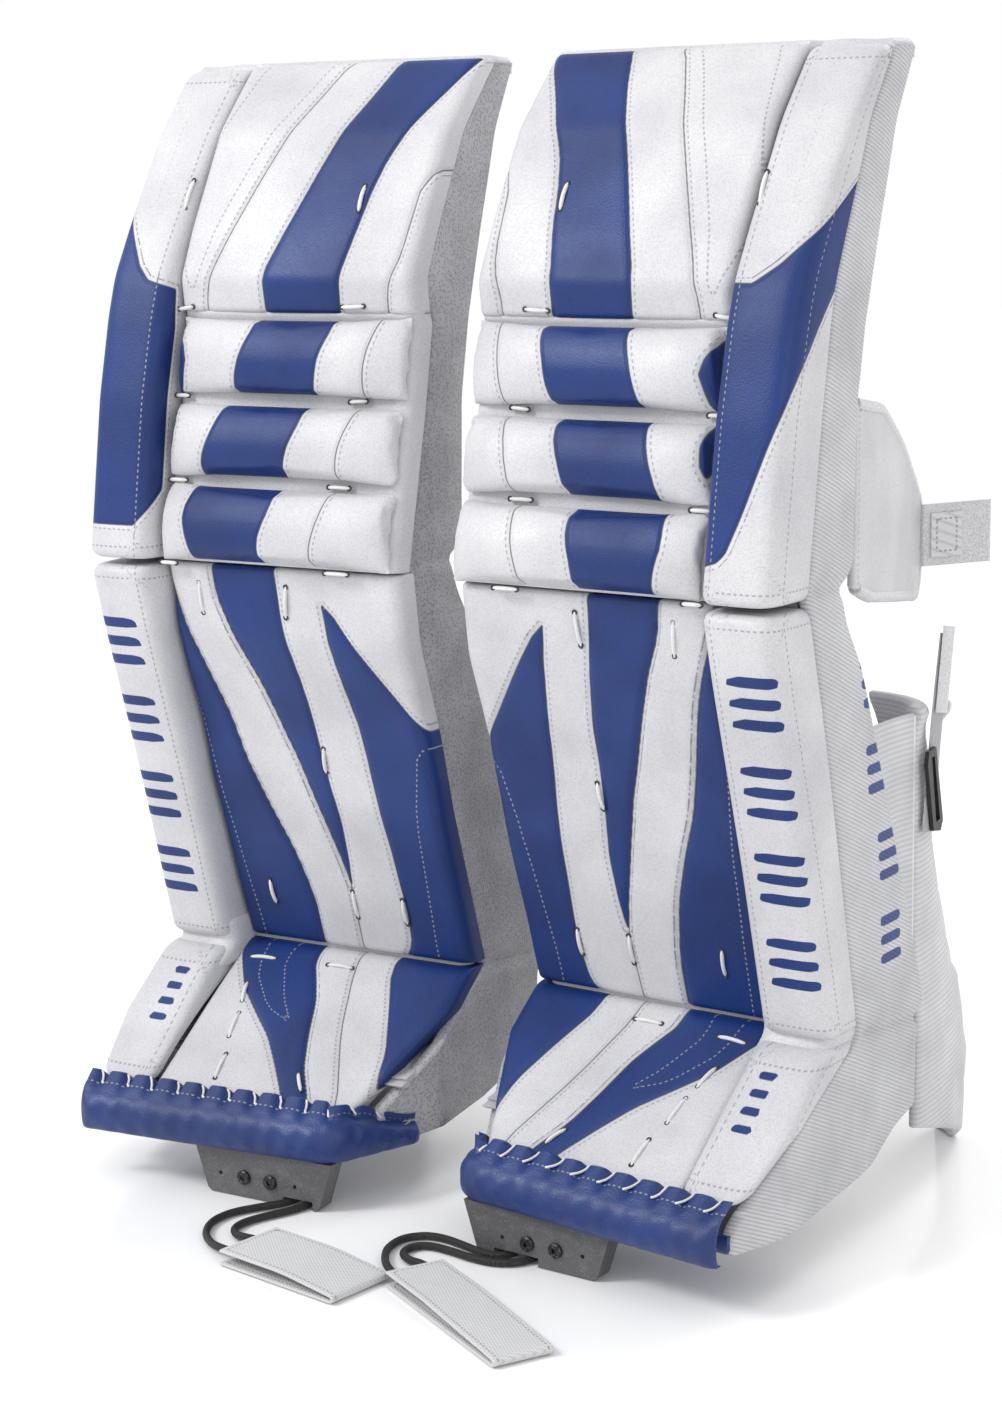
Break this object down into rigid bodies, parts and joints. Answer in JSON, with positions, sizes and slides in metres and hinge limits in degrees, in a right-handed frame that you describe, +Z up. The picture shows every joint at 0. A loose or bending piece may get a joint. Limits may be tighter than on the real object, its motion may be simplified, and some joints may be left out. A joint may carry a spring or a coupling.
{
  "type": "goalie leg pads",
  "caption": "Tall padded goalie leg pads standing on their toes, with a flat face, knee rolls, side rolls, boot, fold-out calf wraps, knee wing and toe ties.",
  "frame": {"origin": "on the floor, in the middle of the ground plan of the two standing pads, the laid-out toe ties left out", "axes": "+Z up along the standing pads, -Y to the front faces, +X to the wearer's left pad"},
  "size_m": [0.66, 0.6232, 0.897],
  "materials": {
    "white_leather": "satin",
    "blue_leather": "satin",
    "foam": "matte",
    "lining": "matte",
    "knit": "matte",
    "white_webbing": "matte",
    "dark_webbing": "matte",
    "black_cord": "matte",
    "black_metal": "gloss",
    "black_plastic": "satin"
  },
  "bodies": {
    "right_boot": {"right_boot_cover": "white_leather", "right_boot_core": "foam", "right_boot_outer_roll": "white_leather", "right_toe_binding": "blue_leather", "right_toe_bridge": "dark_webbing", "right_screw_1": "black_metal", "right_screw_2": "black_metal", "right_boot_strap": "white_webbing", "right_toe_cord": "black_cord", "right_toe_tab": "white_webbing"},
    "right_shin": {"right_shin_cover": "white_leather", "right_shin_core": "foam", "right_shin_back_panel": "lining", "right_shin_outer_roll": "white_leather", "right_calf_cradle": "lining"},
    "right_upper": {"right_upper_cover": "white_leather", "right_upper_core": "foam", "right_upper_back_panel": "lining", "right_upper_outer_roll": "white_leather", "right_knee_roll_1": "white_leather", "right_knee_roll_2": "white_leather", "right_knee_roll_3": "white_leather", "right_knee_block": "lining", "right_knee_cradle": "lining"},
    "right_knee_wing": {"right_knee_wing": "knit", "right_knee_strap": "white_webbing"},
    "right_calf_wrap_outer": {"right_calf_wrap_outer": "knit", "right_calf_strap": "white_webbing"},
    "right_calf_wrap_inner": {"right_calf_wrap_inner": "knit"},
    "right_strap_hook": {"right_strap_hook": "black_plastic"},
    "left_boot": {"left_boot_cover": "white_leather", "left_boot_core": "foam", "left_boot_outer_roll": "white_leather", "left_toe_binding": "blue_leather", "left_toe_bridge": "dark_webbing", "left_screw_1": "black_metal", "left_screw_2": "black_metal", "left_boot_strap": "white_webbing", "left_toe_cord": "black_cord", "left_toe_tab": "white_webbing"},
    "left_shin": {"left_shin_cover": "white_leather", "left_shin_core": "foam", "left_shin_back_panel": "lining", "left_shin_outer_roll": "white_leather", "left_calf_cradle": "lining"},
    "left_upper": {"left_upper_cover": "white_leather", "left_upper_core": "foam", "left_upper_back_panel": "lining", "left_upper_outer_roll": "white_leather", "left_knee_roll_1": "white_leather", "left_knee_roll_2": "white_leather", "left_knee_roll_3": "white_leather", "left_knee_block": "lining", "left_knee_cradle": "lining"},
    "left_knee_wing": {"left_knee_wing": "knit", "left_knee_strap": "white_webbing"},
    "left_calf_wrap_outer": {"left_calf_wrap_outer": "knit", "left_calf_strap": "white_webbing"},
    "left_calf_wrap_inner": {"left_calf_wrap_inner": "knit"},
    "left_strap_hook": {"left_strap_hook": "black_plastic"}
  },
  "joints": [
    {"name": "pad_spacing", "type": "slide", "parent": "right_boot", "child": "left_boot", "axis": [1, 0, 0], "range_m": [0, 0.15]},
    {"name": "right_ankle_flex", "type": "hinge", "parent": "right_boot", "child": "right_shin", "pos_m": [-0.17346, -0.05544, 0.166], "axis": [0.9993, 0.0384, 0], "range_deg": [0, 14]},
    {"name": "right_knee_flex", "type": "hinge", "parent": "right_shin", "child": "right_upper", "pos_m": [-0.16993, -0.14737, 0.5035], "axis": [-0.9993, -0.0384, 0], "range_deg": [-3, 12]},
    {"name": "right_knee_wing_fold", "type": "hinge", "parent": "right_upper", "child": "right_knee_wing", "pos_m": [-0.31666, -0.05293, 0.56], "axis": [0, 0, 1], "range_deg": [0, 85]},
    {"name": "right_outer_wrap_fold", "type": "hinge", "parent": "right_shin", "child": "right_calf_wrap_outer", "pos_m": [-0.32065, 0.05099, 0.28], "axis": [0, 0, 1], "range_deg": [0, 85]},
    {"name": "right_inner_wrap_fold", "type": "hinge", "parent": "right_shin", "child": "right_calf_wrap_inner", "pos_m": [-0.04685, 0.06151, 0.28], "axis": [0, 0, 1], "range_deg": [0, 60]},
    {"name": "right_hook_swing", "type": "hinge", "parent": "right_calf_wrap_outer", "child": "right_strap_hook", "pos_m": [-0.32637, 0.06178, 0.363], "axis": [0.9993, 0.0384, 0], "range_deg": [-15, 35]},
    {"name": "left_ankle_flex", "type": "hinge", "parent": "left_boot", "child": "left_shin", "pos_m": [0.17346, -0.06144, 0.166], "axis": [0.9993, -0.0384, 0], "range_deg": [0, 14]},
    {"name": "left_knee_flex", "type": "hinge", "parent": "left_shin", "child": "left_upper", "pos_m": [0.16993, -0.15337, 0.5035], "axis": [-0.9993, 0.0384, 0], "range_deg": [-3, 12]},
    {"name": "left_knee_wing_fold", "type": "hinge", "parent": "left_upper", "child": "left_knee_wing", "pos_m": [0.31666, -0.05893, 0.56], "axis": [0, 0, -1], "range_deg": [0, 85]},
    {"name": "left_outer_wrap_fold", "type": "hinge", "parent": "left_shin", "child": "left_calf_wrap_outer", "pos_m": [0.32065, 0.04499, 0.28], "axis": [0, 0, -1], "range_deg": [0, 85]},
    {"name": "left_inner_wrap_fold", "type": "hinge", "parent": "left_shin", "child": "left_calf_wrap_inner", "pos_m": [0.04685, 0.05551, 0.28], "axis": [0, 0, -1], "range_deg": [0, 60]},
    {"name": "left_hook_swing", "type": "hinge", "parent": "left_calf_wrap_outer", "child": "left_strap_hook", "pos_m": [0.32637, 0.05578, 0.363], "axis": [0.9993, -0.0384, 0], "range_deg": [-15, 35]}
  ]
}
